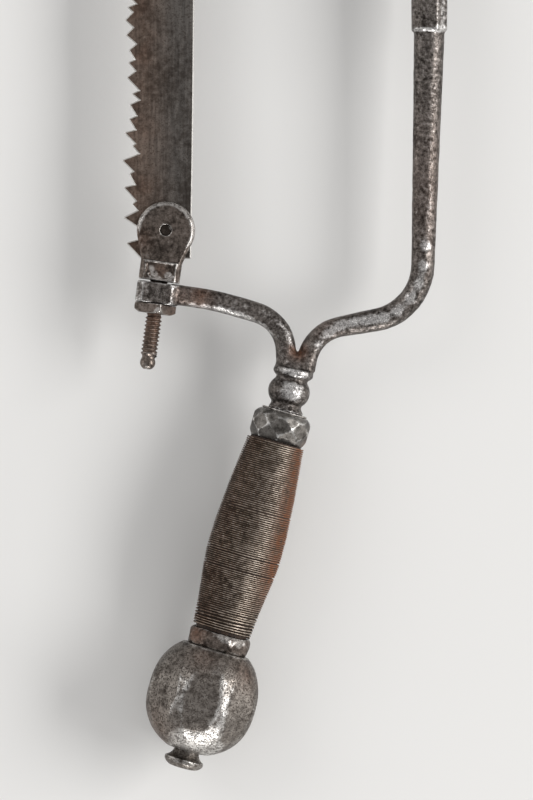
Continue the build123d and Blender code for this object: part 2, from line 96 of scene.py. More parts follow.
# %% Helpers for picking and applying
def pick(piece):
    """Selects one object alone and makes it the active one."""
    bpy.ops.object.select_all(action="DESELECT")
    piece.select_set(True)
    bpy.context.view_layer.objects.active = piece


def in_edit_mode(piece, *tools):
    """Runs tools on the whole mesh of one object in edit mode."""
    pick(piece)
    bpy.ops.object.mode_set(mode="EDIT")
    bpy.ops.mesh.select_all(action="SELECT")
    for tool in tools:
        tool()
    bpy.ops.object.mode_set(mode="OBJECT")


def apply_modifiers(piece):
    """Applies every modifier from the top down."""
    pick(piece)
    for modifier in list(piece.modifiers):
        bpy.ops.object.modifier_apply(modifier=modifier.name)


def triangles(piece):
    return sum(len(face.vertices) - 2 for face in piece.data.polygons)


# %% [markdown]
# A CAD solid arrives as loose triangles. To remodel one, a copy is merged into a single skin first,
# and the solid's own mesh stays as it was.


# %% Helper for copying a solid
def merged_copy(node, name):
    """A copy of a CAD node whose triangles share their corners."""
    piece = bpy.data.objects.new(name, frame["nodes"][node].data.copy())
    bpy.context.scene.collection.objects.link(piece)
    piece.data.materials.clear()
    pick(piece)
    bpy.ops.mesh.customdata_custom_splitnormals_clear()
    in_edit_mode(piece, lambda: bpy.ops.mesh.remove_doubles(threshold=2e-6))
    return piece


# %% [markdown]
# Iron is rubbed bright where it stands out and stays dark in its hollows, and materials need to
# know which is which. Blender has Pointiness for this, but that depends on the size of the cells.
# Here a copy of the points is averaged with their neighbours again and again, which melts the ridges
# away. How far a point stood above its melted place is written beside it in the mesh, in mm.


# %% Helpers for reading points and marking ridges
def points_of(piece):
    flat_list = np.empty(len(piece.data.vertices) * 3)
    piece.data.vertices.foreach_get("co", flat_list)
    return flat_list.reshape(-1, 3)


def write_numbers(piece, name, amounts):
    """Writes one number for each point into the mesh, under a name that materials can read."""
    layer = piece.data.attributes.new(name, "FLOAT", "POINT")
    layer.data.foreach_set("value", amounts.astype(np.float32))


def mark_ridges(piece, cell, reach):
    """Marks how far each point stands out of its surroundings, which reach so many mm."""
    points = points_of(piece)
    ends = np.empty(len(piece.data.edges) * 2, dtype=np.int32)
    piece.data.edges.foreach_get("vertices", ends)
    first, second = ends.reshape(-1, 2).T
    neighbours = np.bincount(ends, minlength=len(points))
    melted = points.copy()
    for step in range(int((2 * reach / cell) ** 2)):
        for axis in range(3):
            total = np.bincount(first, melted[second, axis], len(points))
            total += np.bincount(second, melted[first, axis], len(points))
            melted[:, axis] = (melted[:, axis] + total / neighbours) / 2
    normals = np.empty(len(points) * 3)
    piece.data.vertices.foreach_get("normal", normals)
    heights = ((points - melted) * normals.reshape(-1, 3)).sum(axis=1) / MM
    heights -= np.median(heights)
    write_numbers(piece, "ridge", heights)
    low, high = np.percentile(heights, (50, 97))
    print(piece.name, "ridges stand out by", round(high - low, 3), "mm")


# %% [markdown]
# Forged and handled steel has no sharp edges and no truly flat faces. That could be sculpted by
# hand or faked with a bump. Here the skin is rebuilt as an even net of small cells, the net is
# relaxed so that ridges wear round, and two cloud textures push it in and out: broad ones for the
# hammer and fine ones for rust pits. The shape then holds in any light and from any side.

# %% Helpers for forging a piece
hammer_marks = bpy.data.textures.new("hammer_marks", "CLOUDS")
hammer_marks.noise_scale = 11 * MM
hammer_marks.noise_depth = 1
rust_pits = bpy.data.textures.new("rust_pits", "CLOUDS")
rust_pits.noise_scale = 1.3 * MM
rust_pits.noise_depth = 2
rust_pits.contrast = 1.6


def forge(piece, cell, wear, reach, hammered, pitted):
    """Rebuilds a skin in small cells, wears its edges, marks its ridges and dents it, all in mm."""
    net = piece.modifiers.new("net", "REMESH")
    net.mode = "VOXEL"
    net.voxel_size = cell * MM
    net.use_smooth_shade = True
    worn = piece.modifiers.new("worn", "SMOOTH")
    worn.factor = 0.5
    worn.iterations = wear
    apply_modifiers(piece)
    mark_ridges(piece, cell, reach)
    for texture, depth in ((hammer_marks, hammered), (rust_pits, pitted)):
        dents = piece.modifiers.new(texture.name, "DISPLACE")
        dents.texture = texture
        dents.texture_coords = "LOCAL"
        dents.strength = depth * MM
    apply_modifiers(piece)
    bpy.ops.object.shade_smooth()


def seat(piece, body, slot, *nodes):
    """Lets a piece ride on its body and stand for CAD nodes. Its slot is not used."""
    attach(piece, body)
    if nodes:
        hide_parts(*nodes)
    print(piece.name, triangles(piece), "triangles")


# %% [markdown]
# Rust gathers where water stays: in the fork of the arms, beside the boss and along the side of the
# grip that lay against something damp. Hands rub iron bright, and not only on its ridges, and many
# bright spots are painted highlights, set where light catches the iron. Each such place is a soft
# round spot with a reach in mm and a strength. Stains go into the mesh as a number of their own, and
# rubbed places and painted highlights are added to the ridge marks. Painting by hand would do the
# same.


# %% Helpers for staining and rubbing
def nearness(points, place, reach):
    """One at a place, fading softly to nothing beyond its reach in mm."""
    away = np.linalg.norm(points - np.array(place), axis=1) / (reach * MM)
    return np.exp(-(away**2))


def stain(piece, *places):
    """Writes rust stains. Where two overlap, the stronger one counts."""
    points = points_of(piece)
    amounts = np.zeros(len(points))
    for place, reach, strength in places:
        amounts = np.maximum(amounts, strength * nearness(points, place, reach))
    write_numbers(piece, "rust_and_shade", amounts)


def rub_and_paint_highlight(piece, *places):
    """Raises the ridge marks round rubbed places and painted highlights. Where two overlap, they add up."""
    points = points_of(piece)
    marks = np.empty(len(points))
    ridges = piece.data.attributes["ridge"].data
    ridges.foreach_get("value", marks)
    for place, reach, strength in places:
        marks += strength * nearness(points, place, reach)
    ridges.foreach_set("value", marks.astype(np.float32))


# %% [markdown]
# ## The bow
#
# The bow is one long forging: a back bar with an eight-sided middle, two arms, the bosses and the
# turned neck, which leans a little less than the handle. Where the arms part, the iron is filled in
# by a short web. The web could be built into the fork face by face. A tapered plug is quicker: a
# cylinder along the neck, flattened with resize and flattened more at its top, is joined to the bow,
# and forging melts the two into one.

# %% Fill the fork of the arms
neck_up = Vector((0.2147, 0.9767, 0))
web_middle = from_pin(53.8, -58.05) + neck_up * 2 * MM
web_radius, web_height = 8.1 * MM, 7 * MM
web_flatness, web_top_flatness = 0.84, 0.56
bpy.ops.object.select_all(action="DESELECT")
bpy.ops.mesh.primitive_cylinder_add(
    vertices=48,
    radius=web_radius,
    depth=web_height,
    location=web_middle,
    rotation=neck_up.to_track_quat("Z", "Y").to_euler(),
)
web = bpy.context.active_object
web.name = "web"
bpy.ops.object.transform_apply(location=True, rotation=True, scale=True)
bpy.ops.object.mode_set(mode="EDIT")
bpy.ops.mesh.select_all(action="SELECT")
bpy.ops.transform.resize(value=(1, 1, web_flatness), center_override=near_pin)
bpy.ops.mesh.select_all(action="DESELECT")
bpy.ops.object.mode_set(mode="OBJECT")
for corner in web.data.vertices:
    corner.select = (corner.co - web_middle).dot(neck_up) > 0
bpy.ops.object.mode_set(mode="EDIT")
bpy.ops.transform.resize(value=(1, 1, web_top_flatness), center_override=near_pin)
bpy.ops.object.mode_set(mode="OBJECT")
bow = merged_copy("bow_frame", "bow")
web.select_set(True)
bpy.context.view_layer.objects.active = bow
bpy.ops.object.join()
print("bow with its web:", len(bow.data.vertices), "points")

# %% [markdown]
# The bow is forged with cells of 0.6 mm, small enough for the rings of the neck. Orange rust sits in
# the fork between the arms and beside the boss. Painted highlights, laid over the rubbed ridges,
# brighten the turned neck, the boss's edges, three lines along the arms, the front of the bar, and
# two facets and the foot of its eight-sided middle, which is called the collar here. A line is a row
# of spots, because the arms bend.

# %% Forge the bow
bar_x = 110.7
collar_foot, collar_top = 84, 178
bar_arm_highlight_line = (
    (64.8, -48.7), (68.4, -43.3), (73.2, -39.7), (79.1, -37.9), (85.1, -37.6), (91.1, -36.5),
    (97.0, -33.7), (102.4, -28.3), (106.0, -22.3), (107.8, -15.1), (109.0, -6.7),
)
near_arm_low_highlight_line = (
    (11.2, -32.2), (16.5, -32.8), (21.9, -33.5), (26.4, -34.8), (30.9, -36.2), (34.9, -38.2),
    (38.9, -40.3), (41.2, -42.5), (43.4, -44.8),
)
near_arm_high_highlight_line = (
    (29.1, -30.4), (34.4, -32), (39.8, -33.5), (43.4, -35.7), (47, -38), (49.2, -40.5),
    (51.4, -43), (52.3, -45.7), (53.2, -48.4),
)
bar_highlight_line = [(bar_x - 0.2 + y / 80, y) for y in range(0, 82, 4)]
collar_heights = range(collar_foot, collar_top, 4)
collar_rim_highlight = [(bar_x + x, collar_foot - 0.4, (50 - x * x) ** 0.5) for x in range(-6, 7)]

forge(bow, 0.6, 2, 1.5, hammered=0.3, pitted=0.07)
stain(
    bow,
    (from_pin(55.5, -51, 3), 3.5, 0.75),
    (from_pin(14, -28, 3), 5, 0.45),
    (from_pin(7, -27, 3), 4, 0.25),
    (from_pin(108, 20), 30, 0.1),
    (from_pin(66, -40, 6), 8, 0.12),
)
# Painted highlights: bright streaks and spots where light catches the neck, boss, arms, bar and collar.
rub_and_paint_highlight(
    bow,
    (on_handle(-31, 0, 8), 6, 0.4),
    (on_handle(-22, 1, 9), 6, 0.55),
    (from_pin(-11, -26, 5), 4, 0.4),
    *((from_pin(x, y, 5), 3.2, 0.62) for x, y in bar_arm_highlight_line),
    *((from_pin(x, y, 3), 2.6, 0.62) for x, y in near_arm_low_highlight_line),
    *((from_pin(x, y, 4), 2.4, 0.26) for x, y in near_arm_high_highlight_line),
    *((from_pin(x, y, 5), 2.6, 0.22) for x, y in bar_highlight_line),
    (from_pin(3.2, -24, 6), 2.2, 0.35),
    (from_pin(3.0, -29, 6), 2.2, 0.35),
    *((from_pin(bar_x + 5.2, y, 5), 3, 0.4) for y in collar_heights),
    *((from_pin(bar_x - 5.5, y, 4.5), 2, 0.2) for y in collar_heights),
    *((from_pin(*place), 1.2, 0.4) for place in collar_rim_highlight),
)
seat(bow, "frame", "forged_steel", "bow_frame")

# %% [markdown]
# ## Ferrule, bead, pommel and button
#
# These close the handle, with a thin plate over the ferrule. The ferrule's lozenges keep their shape
# but lose their sharp edges. The bead under the grip was only beaten into shape, so it gets deeper
# hammer marks. The pommel's ridges are worn the most, because the palm rubs them.

# %% Forge the pieces of the handle
ferrule = merged_copy("ferrule", "faceted_ferrule")
forge(ferrule, 0.3, 2, 1.1, hammered=0.1, pitted=0.03)
stain(ferrule, (on_handle(0, 11), 5, 0.3))
seat(ferrule, "frame", "ferrule_steel", "ferrule")

bead = merged_copy("grip_bead", "hammered_bead")
forge(bead, 0.35, 3, 1.2, hammered=1.5, pitted=0.18)
stain(bead, (on_handle(86, -10, 8), 5, 0.4))
# Painted highlight: a bright crest on the bead's right side.
rub_and_paint_highlight(bead, (on_handle(85.5, 2, 12), 2.5, 0.3), (on_handle(86, 8, 9), 3, 0.4))
seat(bead, "frame", "forged_steel", "grip_bead")

pommel = merged_copy("pommel", "ball_pommel")
forge(pommel, 0.45, 4, 2.2, hammered=0.25, pitted=0.06)
stain(
    pommel,
    (on_handle(96, -4, 16), 6, 0.22),
    (on_handle(97, 14, 12), 7, 0.2),
    (on_handle(128, -14, 9), 9, 0.2),
)
# Painted highlights: a bright patch along the pommel's lower edge and bright lines on its ridges.
rub_and_paint_highlight(
    pommel,
    (on_handle(130, 0, 13), 7, 0.9),
    (on_handle(134, 2, 8), 6, 0.9),
    (on_handle(129, 7, 12), 6, 0.7),
    (on_handle(99, 1, 19), 3.5, 0.2),
    (on_handle(103, 7, 20), 3.5, 0.2),
    (on_handle(112, 10.5, 20), 5, 0.25),
    (on_handle(107, -8, 20), 4, 0.16),
    (on_handle(117, -9, 20), 4, 0.14),
    (on_handle(121, 10, 19), 4, 0.25),
)
seat(pommel, "frame", "pommel_steel", "pommel")

button = merged_copy("tang_button", "saucer_button")
forge(button, 0.28, 3, 1.0, hammered=0.12, pitted=0.04)
stain(button)
# Brightens the middle of the button a little.
rub_and_paint_highlight(button, (on_handle(146, 0, 5), 9, 0.1))
seat(button, "frame", "pommel_steel", "tang_button")

plate = merged_copy("ferrule_plate", "washer_plate")
forge(plate, 0.25, 1, 0.8, hammered=0.05, pitted=0.05)
stain(plate)
seat(plate, "frame", "ferrule_steel", "ferrule_plate")

# %% [markdown]
# ## Forks, pins and nut
#
# Each fork is a pair of round cheeks on a stout block. The near one runs on into the screw. Its copy
# is cut in two with bisect: the head is kept as it is, and the plain shaft gives way to a real
# thread. The ball at the screw's end is kept too. Painted highlights brighten the round rim of the
# cheek, the upper edge of the block and the scallops of its panel, and the tip of the ball is
# brightened too.


# %% Cut the near fork's copy
def cut(piece, place, heading):
    """Cuts off all that lies beyond a place along a heading and closes the cut."""
    in_edit_mode(
        piece,
        lambda: bpy.ops.mesh.bisect(
            plane_co=place, plane_no=heading, use_fill=True, clear_outer=True
        ),
    )


thread_start, thread_end = 33.0, 52.1
overlap = 0.3
rim_radius = 12.2
rim_turns = np.radians(range(-30, 175, 12))
cheek_rim_highlight = [(rim_radius * np.cos(turn), rim_radius * np.sin(turn), 5) for turn in rim_turns]
fork_head = merged_copy("screw_fork", "near_fork")
cut(fork_head, on_screw(thread_start), screw_out)
forge(fork_head, 0.33, 2, 0.9, hammered=0.12, pitted=0.04)
stain(fork_head, (from_pin(-11, -4, 4), 5, 0.2), (on_screw(17, 0, 6), 3, 0.3))
# Painted highlights on the cheek's rim, the block's upper edge and the panel's scallops.
rub_and_paint_highlight(
    fork_head,
    (on_screw(13.6, 0, 5.5), 2.5, 0.12),
    (on_screw(19.3, -3, 5), 1.8, 0.3),
    (on_screw(19.3, 3, 5), 1.8, 0.35),
    (from_pin(8, 8, 4), 6, 0.06),
    (from_pin(-4.4, -18.9, 5.5), 1.4, 0.6),
    (from_pin(1.7, -18.9, 5.5), 1.4, 0.6),
    (from_pin(-6.0, -15.6, 4.5), 1.6, 0.3),
    *((from_pin(*place), 1.8, 0.3) for place in cheek_rim_highlight),
    *((on_screw(13.3, x, 6), 1.3, 0.35) for x in range(-6, 7, 2)),
)
seat(fork_head, "fork", "fork_steel", "screw_fork")

screw_ball = merged_copy("screw_fork", "screw_ball")
cut(screw_ball, on_screw(thread_end - overlap), -screw_out)
forge(screw_ball, 0.2, 2, 0.7, hammered=0.1, pitted=0.03)
stain(screw_ball)
# Brightens the tip of the ball.
rub_and_paint_highlight(screw_ball, (on_screw(58.5, 0, 2.5), 2.2, 0.25))
seat(screw_ball, "fork", "fork_steel", "screw_fork")

# %% [markdown]
# The thread is a profile of one turn, from valley to crest to valley, that the Screw modifier winds
# up twelve times. A row of separate rings would look the same from afar, but its ridges would not
# climb. The crests are a little rounded, as a thread cut with a hand die is. Where the nut runs over
# them they are worn down, so that the nut's plain hole clears them at both ends of its run.

# %% Wind the screw's thread
pitch, crest, valley = 1.65, 3.5, 2.8
rounded_crest = crest - 0.08
profile = (
    (valley, 0),
    (valley, 0.2),
    (rounded_crest, 0.68),
    (crest, 0.825),
    (rounded_crest, 0.97),
    (valley, 1.45),
    (valley, pitch),
)
bpy.ops.object.select_all(action="DESELECT")
bpy.ops.mesh.primitive_plane_add(size=pitch * MM)
thread = bpy.context.active_object
thread.name = "screw_thread"
bpy.ops.object.mode_set(mode="EDIT")
bpy.ops.mesh.select_all(action="SELECT")
bpy.ops.mesh.merge(type="CENTER")
bpy.ops.transform.translate(value=(valley * MM, 0, 0))
for (radius, height), (next_radius, next_height) in zip(profile, profile[1:]):
    step = ((next_radius - radius) * MM, 0, (next_height - height) * MM)
    bpy.ops.mesh.extrude_vertices_move(TRANSFORM_OT_translate={"value": step})
bpy.ops.object.mode_set(mode="OBJECT")
print("profile of one turn:", len(thread.data.vertices), "points,", len(thread.data.edges), "edges")

turns_of_thread = (thread_end - thread_start) / pitch
winder = thread.modifiers.new("winder", "SCREW")
winder.screw_offset = pitch * MM
winder.iterations = int(turns_of_thread) + 1
winder.steps = winder.render_steps = 40
winder.use_merge_vertices = True
winder.merge_threshold = 1e-5
apply_modifiers(thread)

thread_foot = thread_start - 0.6
slide_travel, clearance, worn_crest = 1.65, 0.1, 3.18
nut_points = points_of(frame["nodes"]["tension_nut"]) - np.array(near_pin)
nut_heights = nut_points @ np.array(screw_out) / MM
run_end = nut_heights.max() + slide_travel + clearance
middle_radius = (crest + valley) / 2
for corner in thread.data.vertices:
    under_nut = corner.co.z / MM + thread_foot < run_end
    corner.select = bool(under_nut and corner.co.xy.length / MM > middle_radius)
bpy.context.tool_settings.mesh_select_mode = (True, False, False)
bpy.ops.object.mode_set(mode="EDIT")
wear_scale = (worn_crest / crest, worn_crest / crest, 1)
bpy.ops.transform.resize(value=wear_scale, center_override=(0, 0, 0))
bpy.ops.object.mode_set(mode="OBJECT")
print("crests worn down as far as", round(run_end, 1), "mm from the pin")

side = upward.cross(screw_out)
turned = Matrix((side, upward, screw_out)).transposed()
thread.data.transform(turned.to_4x4())
thread.data.transform(Matrix.Translation(on_screw(thread_foot)))
in_edit_mode(thread, lambda: bpy.ops.mesh.normals_make_consistent(inside=False))
pick(thread)
bpy.ops.object.shade_smooth()
stain(thread, (on_screw(38), 14, 0.3))
axis_way = np.array(screw_out)
spokes = points_of(thread) - np.array(near_pin)
spokes -= np.outer(spokes @ axis_way, axis_way)
# Painted highlight: the crests get higher marks, so they render lighter than the valleys.
crest_highlight = 0.2
risen = (np.linalg.norm(spokes, axis=1) / MM - valley) / (crest - valley)
write_numbers(thread, "ridge", risen * crest_highlight)
seat(thread, "fork", "fork_steel", "screw_fork")

# %% [markdown]
# The nut, the other fork and the two pins are forged the same way, with cells as small as each piece
# asks for. The pins are dished, and a painted highlight brightens one spot on the near pin's right
# flank. Another painted highlight brightens the nut's middle edge.

# %% Forge the nut, the far fork and the pins
nut = merged_copy("tension_nut", "square_nut")
forge(nut, 0.28, 2, 0.8, hammered=0.1, pitted=0.04)
stain(nut, (on_screw(33, 7), 6, 0.2))
# Painted highlight on the nut's middle edge.
rub_and_paint_highlight(nut, (on_screw(34, 1.5, 8.5), 1.8, 0.6))
seat(nut, "nut", "fork_steel", "tension_nut")

far_fork = merged_copy("far_fork", "far_fork_forged")
forge(far_fork, 0.36, 2, 0.9, hammered=0.12, pitted=0.04)
stain(far_fork)
seat(far_fork, "frame", "fork_steel", "far_fork")

pins = []
for node, name, body in (
    ("near_pin", "near_pin_dished", "fork"),
    ("far_pin", "far_pin_dished", "frame"),
):
    pin = merged_copy(node, name)
    forge(pin, 0.16, 2, 0.5, hammered=0.05, pitted=0.03)
    stain(pin)
    # Painted highlight on the near pin's right flank.
    rub_and_paint_highlight(pin, (from_pin(1.7, 0.9, 4.0), 1.3, 0.9))
    seat(pin, body, "pin_steel", node)
    pins.append(pin)

# %% [markdown]
# ## The blade
#
# The blade is a flat strip, and its edges were filed. Rebuilding it in cells would blunt the teeth.
# So its flat faces are merged with a limited dissolve, and a Bevel modifier cuts a small chamfer
# round the outline, which catches the light as filed steel does. The chamfer gets a brighter
# material of its own, partly bare filed steel and partly a painted highlight.

# %% Chamfer the blade
FACES, CHAMFER = 0, 1
blade = merged_copy("blade", "toothed_blade")
blade.data.materials.append(None)
blade.data.materials.append(None)
in_edit_mode(blade, lambda: bpy.ops.mesh.dissolve_limited(angle_limit=0.01))
filed = blade.modifiers.new("filed", "BEVEL")
filed.width = 0.46 * MM
filed.use_clamp_overlap = False
filed.limit_method = "ANGLE"
filed.angle_limit = 0.45
filed.segments = 1
filed.material = CHAMFER
apply_modifiers(blade)
bpy.ops.object.shade_flat()
filed_areas = [face.area for face in blade.data.polygons if face.material_index == CHAMFER]
print("filed faces:", len(filed_areas), "area in mm2:", round(sum(filed_areas) / MM**2, 1))
stain(blade)
seat(blade, "blade", "blade_steel", "blade")

# %% [markdown]
# ## The wire
#
# The grip is wound with one thin iron wire. The CAD model stands in for it with a broad band. Here
# the real wire is laid: a curve that climbs the handle turn by turn, with a round bevel. The lay is
# even but not perfect: each turn wanders a little, some leave a dark gap, and the last turns above
# the pommel are thicker and looser. The grip's outline is a short table of its radius at a few
# heights down the handle.

# %% Plan the lay of the wire
grip_heights = (0, 4, 12.6, 21, 31.5, 40, 50, 57, 67, 73.5, 80, 84)
grip_radii = (12.1, 12.6, 13.5, 14.4, 15.2, 15.8, 15.9, 15.3, 14.0, 13.2, 12.6, 12.5)
wire_radius, loose_radius = 0.345, 0.44
tight_turns, loose_turns = 84, 7
all_turns = tight_turns + loose_turns
tight_pitch, loose_pitch = 0.87, 1.13
lay_start, lay_end = 0.6, 82.6
wander = 0.06
lay = random.Random(11)
gap_turns = {33: 0.3, 34: 0.15, 55: 0.35, 62: 0.3, 71: 0.2, 12: 0.12, 83: 0.3}
pitches = [
    tight_pitch + lay.uniform(-wander, wander) + gap_turns.get(turn, 0)
    for turn in range(tight_turns)
]
pitches += [loose_pitch + lay.uniform(-0.18, 0.2) for turn in range(loose_turns)]
stretch = (lay_end - lay_start) / sum(pitches)
turn_heights = np.concatenate(([0], np.cumsum(pitches))) * stretch + lay_start
wobble = [lay.uniform(-wander, wander) for turn in range(len(turn_heights) + 1)]
print("wire:", all_turns, "turns, pitch scaled by", round(stretch, 3))

# %% [markdown]
# Each turn takes forty points. Between two turns the height and the wobble pass evenly from one to
# the next. The loose turns wobble four times as much and sway up and down a little.


# %% Lay the wire
def outline(height):
    """Radius over the wire at a height, with the table's corners rounded off."""
    near = np.linspace(-4, 4, 9)
    return float(np.mean(np.interp(height + near, grip_heights, grip_radii)))


steps = 40
loose_wobble, loose_sway = 4, 0.2
route = []
for turn in range(all_turns):
    loose = turn >= tight_turns
    thick = loose_radius if loose else wire_radius
    for step in range(steps):
        part = step / steps
        angle = 2 * np.pi * part
        height = turn_heights[turn] + (turn_heights[turn + 1] - turn_heights[turn]) * part
        lift = wobble[turn] * (1 - part) + wobble[turn + 1] * part
        if loose:
            lift *= loose_wobble
            height += loose_sway * np.sin(angle + turn)
        reach = outline(height) - thick + lift
        spot = handle_foot + down * height * MM
        spot = spot + (across * np.cos(angle) + upward * np.sin(angle)) * reach * MM
        route.append((spot, thick / wire_radius))

curve = bpy.data.curves.new("wound_wire", "CURVE")
curve.dimensions = "3D"
curve.bevel_depth = wire_radius * MM
curve.bevel_resolution = 1
curve.use_fill_caps = True
spline = curve.splines.new("POLY")
spline.points.add(len(route) - 1)
for point, (spot, thick) in zip(spline.points, route):
    point.co = (*spot, 1)
    point.radius = thick
wire = bpy.data.objects.new("wound_wire", curve)
bpy.context.scene.collection.objects.link(wire)
pick(wire)
bpy.ops.object.convert(target="MESH")
wire = bpy.context.active_object
bpy.ops.object.shade_smooth()
print("wire laid with", len(route), "points")

# %% [markdown]
# The wire's marks are worked out from its shape. The grip's right side rusts, less so towards the
# pommel and the underside. The ridge mark is one where the wire stands out most, which paints a
# highlight along the top of each turn, and nothing where two turns meet, which paints shade there.
# It is counted from the middle of each ring of corners, so that a turn that lies a little higher is
# no brighter than its neighbours. The left side gets a little more rust and lower marks as painted
# shade, so it stays darker.


# %% Mark the wire
def fade(amounts, start, width):
    """Nothing up to a start, rising evenly to one over a width."""
    return np.clip((amounts - start) / width, 0, 1)


points = points_of(wire) - np.array(handle_foot)
heights = points @ np.array(down) / MM
radii = np.interp(heights, grip_heights, grip_radii)
sideways = points @ np.array(across) / MM / radii
upright = points[:, 2] / MM / radii
rusty_side = fade(sideways, 0.5, 0.35) * fade(-heights, -74, 20)
rusty_side *= fade(upright, -0.3, 0.25)
# Painted shade: the left side gets a little more rust and lower marks, so it renders darker.
shaded_side = fade(-sideways, -0.1, 0.8)
write_numbers(wire, "rust_and_shade", 0.12 + 0.83 * rusty_side + 0.12 * shaded_side)

# Painted light: marks are high on the top of each turn, a painted highlight, and low where two turns meet, painted
# shade.
corners = len(points) // len(route)
reaches = np.linalg.norm(points - np.outer(heights, np.array(down)) * MM, axis=1) / MM
middles = np.repeat(reaches.reshape(-1, corners).mean(axis=1), corners)
rings = points.reshape(-1, corners, 3) / MM
ring_radii = np.linalg.norm(rings - rings.mean(axis=1, keepdims=True), axis=2).mean(axis=1)
marks = (reaches - middles) / np.repeat(ring_radii, corners)
write_numbers(wire, "ridge", marks - 0.12 * shaded_side)
print("wire:", corners, "corners round, marks up to", round(marks.max(), 2))
seat(wire, "frame", "winding_wire", "grip_winding")

# %% [markdown]
# ## Effects that the materials share
#
# Old iron is never one colour. Under the lamp it is a dark brown skin, grey where the skin is thin,
# bright where it has been rubbed and where a highlight is painted, freckled with pits and orange where
# it rusts. One node group mixes these from noise at three sizes, and each material places the group
# with its own values, such as how thin the skin is and how much the broadest noise blotches it. The
# group gives colour, roughness, metal and height. The shader itself stays in each material.


# %% Helpers for wiring nodes
def wire_up(tree, kind, inputs=None, **settings):
    """Adds a node, sets its options, and links or sets its inputs by name or number."""
    made = tree.nodes.new(kind)
    for name, value in settings.items():
        setattr(made, name, value)
    for key, value in (inputs or {}).items():
        if isinstance(value, bpy.types.NodeSocket):
            tree.links.new(value, made.inputs[key])
        else:
            made.inputs[key].default_value = value
    return made


def mix_colours(tree, share, first, second, blend="MIX"):
    """One colour laid over another, in part or in full. A MULTIPLY blend tints instead."""
    inputs = {0: share, 6: first, 7: second}
    made = wire_up(tree, "ShaderNodeMix", inputs, data_type="RGBA", blend_type=blend)
    return made.outputs[2]


def reckon(tree, operation, first, second):
    return wire_up(tree, "ShaderNodeMath", {0: first, 1: second}, operation=operation).outputs[0]


def weigh(tree, *pairs):
    """Adds up values, each times its own weight."""
    products = [reckon(tree, "MULTIPLY", value, weight) for value, weight in pairs]
    total = products[0]
    for product in products[1:]:
        total = reckon(tree, "ADD", total, product)
    return total


def ramp(tree, value, low, high, to_low=0.0, to_high=1.0):
    """A smooth step of a value from one range to another."""
    made = wire_up(
        tree,
        "ShaderNodeMapRange",
        {"Value": value, "From Min": low, "From Max": high, "To Min": to_low, "To Max": to_high},
        interpolation_type="SMOOTHSTEP",
    )
    return made.outputs["Result"]


def cloud(tree, place, scale, detail, roughness):
    inputs = {"Vector": place, "Scale": scale, "Detail": detail, "Roughness": roughness}
    return wire_up(tree, "ShaderNodeTexNoise", inputs).outputs[0]


# %% Build the old iron group
usual_blotches = 0.42
old_iron = bpy.data.node_groups.new("old_iron", "ShaderNodeTree")
for name, kind, start in (
    ("Place", "NodeSocketVector", None),
    ("Skin", "NodeSocketColor", (0.03, 0.025, 0.022, 1)),
    ("Steel", "NodeSocketColor", (0.13, 0.12, 0.11, 1)),
    ("Rubbed_and_lit", "NodeSocketColor", (0.6, 0.59, 0.57, 1)),
    ("Rust", "NodeSocketColor", (0.2, 0.075, 0.03, 1)),
    ("Stain", "NodeSocketFloat", 0.0),
    ("Edge", "NodeSocketFloat", 0.0),
    ("Thin", "NodeSocketFloat", 0.5),
    ("Wear", "NodeSocketFloat", 0.5),
    ("Pits", "NodeSocketFloat", 0.5),
    ("Blotches", "NodeSocketFloat", usual_blotches),
):
    socket = old_iron.interface.new_socket(name, in_out="INPUT", socket_type=kind)
    if start is not None:
        socket.default_value = start
for name, kind in (
    ("Colour", "NodeSocketColor"),
    ("Roughness", "NodeSocketFloat"),
    ("Metal", "NodeSocketFloat"),
    ("Height", "NodeSocketFloat"),
):
    old_iron.interface.new_socket(name, in_out="OUTPUT", socket_type=kind)

given = old_iron.nodes.new("NodeGroupInput").outputs
broad = cloud(old_iron, given["Place"], 70.0, 6.0, 0.62)
middling = cloud(old_iron, given["Place"], 420.0, 4.0, 0.6)
fine = cloud(old_iron, given["Place"], 1300.0, 3.0, 0.6)

uneven = reckon(old_iron, "SUBTRACT", broad, 0.5)
bare = weigh(old_iron, (uneven, given["Blotches"]), (middling, 0.34), (fine, 0.24))
bare = reckon(old_iron, "ADD", bare, usual_blotches / 2)
bare = reckon(old_iron, "ADD", bare, reckon(old_iron, "SUBTRACT", given["Thin"], 0.5))
colour = mix_colours(old_iron, ramp(old_iron, bare, 0.4, 0.58), given["Skin"], given["Steel"])

more_worn = reckon(old_iron, "SUBTRACT", given["Wear"], 0.5)
# The edge input brings worn ridges and painted highlights into the rubbed mask.
rubbed_and_lit = weigh(old_iron, (middling, 0.55), (fine, 0.45), (given["Edge"], 0.22), (more_worn, 0.3))
rubbed_and_lit = ramp(old_iron, rubbed_and_lit, 0.52, 0.8)
colour = mix_colours(old_iron, rubbed_and_lit, colour, given["Rubbed_and_lit"])

pits = weigh(old_iron, (fine, 1.0), (given["Pits"], 0.16))
pits = ramp(old_iron, pits, 0.6, 0.72)
colour = mix_colours(old_iron, reckon(old_iron, "MULTIPLY", pits, 0.85), colour, given["Skin"])

patchy = ramp(old_iron, middling, 0.3, 0.62, 0.35, 1.25)
rusty = reckon(old_iron, "MULTIPLY", given["Stain"], patchy)
rusty = wire_up(old_iron, "ShaderNodeClamp", {"Value": rusty}).outputs[0]
tone = mix_colours(old_iron, ramp(old_iron, fine, 0.35, 0.65), given["Rust"], given["Skin"])
tone = mix_colours(old_iron, 0.35, given["Rust"], tone)
colour = mix_colours(old_iron, rusty, colour, tone)

